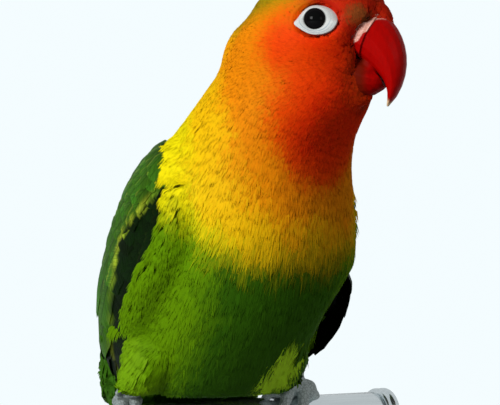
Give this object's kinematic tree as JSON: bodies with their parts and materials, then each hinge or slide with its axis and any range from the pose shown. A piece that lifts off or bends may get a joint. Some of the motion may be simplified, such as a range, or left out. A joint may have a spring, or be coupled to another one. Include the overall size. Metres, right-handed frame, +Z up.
{
  "type": "lovebird model",
  "caption": "Life-size Fischer's lovebird gripping a cut length of round rail, head turned to its left, on a plain disc stand with two short rods.",
  "frame": {"origin": "centre of the stand's flat underside", "axes": "+Z up; the rail runs along X; the bird's chest points to -Y, its left side to +X and its tail to +Y"},
  "size_m": [0.092, 0.0991, 0.1413],
  "materials": {
    "plumage_head": "fine feathering, orange red with a yellow collar",
    "plumage_body": "fine feathering, yellow breast to green belly",
    "plumage_wing": "overlapping green coverts",
    "plumage_flight": "long dark flight feathers",
    "plumage_tail": "green tail feathers",
    "beak": "smooth red horn",
    "cere_skin": "soft pale skin",
    "eye": "wet dark brown eye",
    "eye_skin": "bare white skin",
    "foot_skin": "scaled grey skin",
    "claw": "dark horn",
    "rail": "polished round rail with a turned collar",
    "stand": "plain pale grey satin paint",
    "stand_rods": "plain brushed rods"
  },
  "bodies": {
    "root": {"head": "plumage_head", "neck": "plumage_head", "trunk": "plumage_body", "thigh_left": "plumage_body", "thigh_right": "plumage_body", "wing_left": "plumage_wing", "wing_right": "plumage_wing", "primaries_left": "plumage_flight", "primaries_right": "plumage_flight", "tail": "plumage_tail", "bill_upper": "beak", "bill_lower": "beak", "cere": "cere_skin", "eye_left": "eye", "eye_right": "eye", "eye_ring_left": "eye_skin", "eye_ring_right": "eye_skin", "foot_left": "foot_skin", "foot_right": "foot_skin", "claw_left_1": "claw", "claw_left_2": "claw", "claw_left_3": "claw", "claw_left_4": "claw", "claw_right_1": "claw", "claw_right_2": "claw", "claw_right_3": "claw", "claw_right_4": "claw", "perch_rail": "rail", "perch_cap": "rail", "stand_base": "stand", "stand_rod_left": "stand_rods", "stand_rod_right": "stand_rods"}
  },
  "joints": []
}
